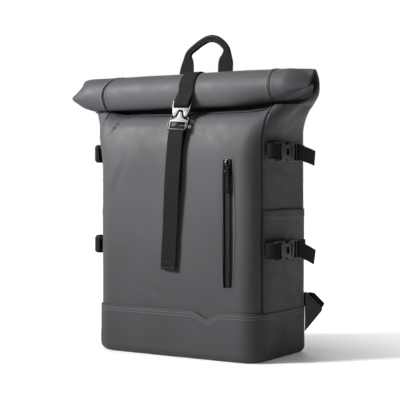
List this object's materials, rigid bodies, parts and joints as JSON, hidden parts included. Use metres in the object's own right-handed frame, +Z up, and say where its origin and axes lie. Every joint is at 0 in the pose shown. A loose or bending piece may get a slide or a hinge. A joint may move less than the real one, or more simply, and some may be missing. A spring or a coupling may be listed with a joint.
{
  "type": "rolltop backpack",
  "caption": "Upright backpack of coated fabric with a rolled and strapped top, side pockets, side compression straps and a carry handle.",
  "frame": {"origin": "middle of the base's flat underside, on the floor that the bag stands on", "axes": "+Z up, front panel facing -Y, +X to the right of someone who looks at the front"},
  "size_m": [0.4466, 0.2281, 0.513],
  "materials": {
    "coated_fabric": "satin",
    "webbing": "matte",
    "padding_fabric": "matte",
    "zip_fabric": "satin",
    "zip_metal": "satin",
    "buckle_metal": "satin",
    "black_plastic": "satin"
  },
  "bodies": {
    "bag": {"front_panel": "coated_fabric", "back_panel": "coated_fabric", "side_panel_left": "coated_fabric", "side_panel_right": "coated_fabric", "base_panel": "coated_fabric", "side_pocket_left": "coated_fabric", "side_pocket_right": "coated_fabric", "zip_tape": "zip_fabric", "zip_slider": "zip_metal", "roll_strap": "webbing", "roll_strap_tail": "webbing", "buckle_hook": "buckle_metal", "buckle_frame": "buckle_metal", "strap_front_upper_left": "webbing", "strap_front_upper_right": "webbing", "strap_front_lower_left": "webbing", "strap_front_lower_right": "webbing", "strap_back_upper_left": "webbing", "strap_back_upper_right": "webbing", "strap_back_lower_left": "webbing", "strap_back_lower_right": "webbing", "buckle_socket_upper_left": "black_plastic", "buckle_socket_upper_right": "black_plastic", "buckle_socket_lower_left": "black_plastic", "buckle_socket_lower_right": "black_plastic", "buckle_plug_upper_left": "black_plastic", "buckle_plug_upper_right": "black_plastic", "buckle_plug_lower_left": "black_plastic", "buckle_plug_lower_right": "black_plastic", "top_handle": "webbing", "back_pad": "padding_fabric", "shoulder_pad_left": "padding_fabric", "shoulder_pad_right": "padding_fabric", "ladder_lock_left": "black_plastic", "ladder_lock_right": "black_plastic", "shoulder_tab_left": "webbing", "shoulder_tab_right": "webbing", "shoulder_webbing_left": "webbing", "shoulder_webbing_right": "webbing", "strap_wing_left": "padding_fabric", "strap_wing_right": "padding_fabric"},
    "zip_puller": {"zip_pull": "zip_metal"}
  },
  "joints": [
    {"name": "zip_pull_hinge", "type": "hinge", "parent": "bag", "child": "zip_puller", "pos_m": [0.102, -0.0905, 0.302], "axis": [-1, 0, 0], "range_deg": [0, 150]}
  ]
}
